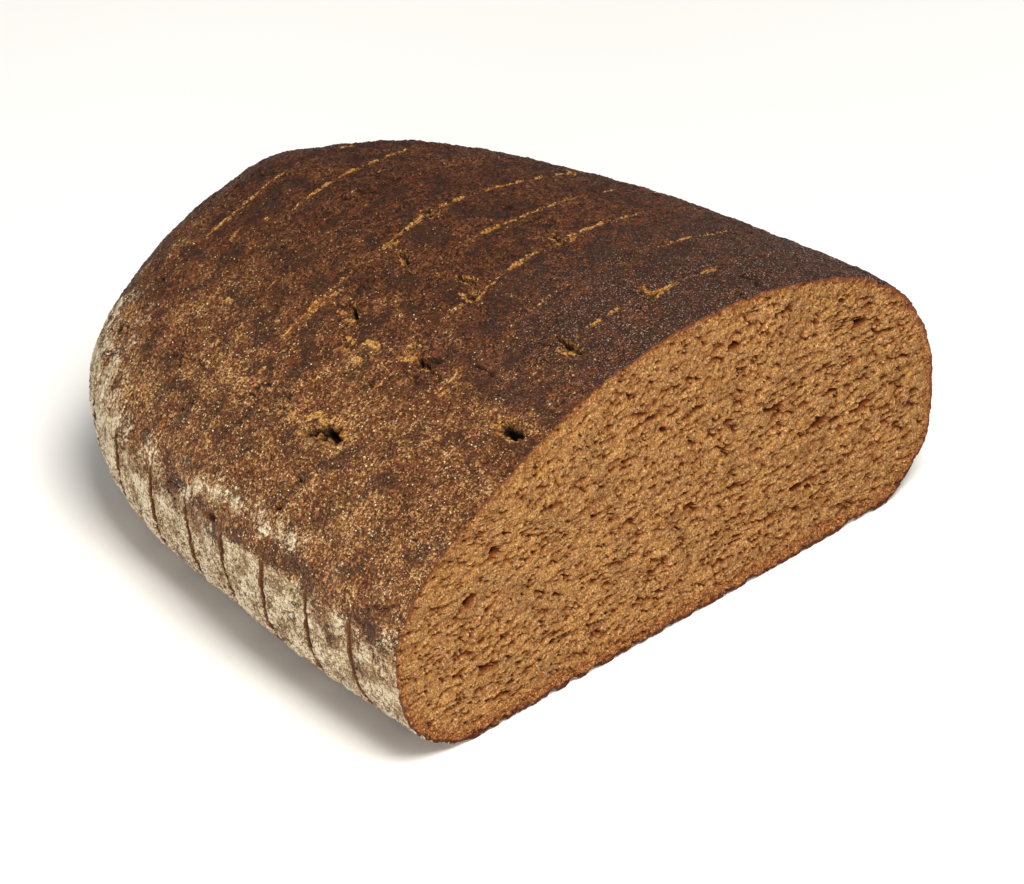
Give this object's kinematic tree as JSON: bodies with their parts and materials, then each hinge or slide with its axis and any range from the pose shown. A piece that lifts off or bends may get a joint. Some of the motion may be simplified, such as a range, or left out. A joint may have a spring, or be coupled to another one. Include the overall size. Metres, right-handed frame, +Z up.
{
  "type": "rye bread half loaf, sliced",
  "caption": "Half of a dark rye hearth loaf with a domed, docked, flour-dusted crust, an open cut face, and slices standing together up to the rounded heel.",
  "frame": {"origin": "middle of the loaf's box, at the base it rests on", "axes": "+X across the cut face, to the right seen from the cut side; +Y along the loaf from the cut face to the heel; +Z up"},
  "size_m": [0.1299, 0.112, 0.061],
  "materials": {
    "crumb": "open, torn rye crumb, matt and slightly moist",
    "crust": "dark baked crust, matt and grainy, dusted with flour low down"
  },
  "bodies": {
    "root": {"slice_1": "crumb", "slice_2": "crumb", "slice_3": "crumb", "slice_4": "crumb", "slice_5": "crumb", "slice_6": "crumb", "slice_7": "crumb", "slice_8": "crumb", "heel": "crust"}
  },
  "joints": []
}
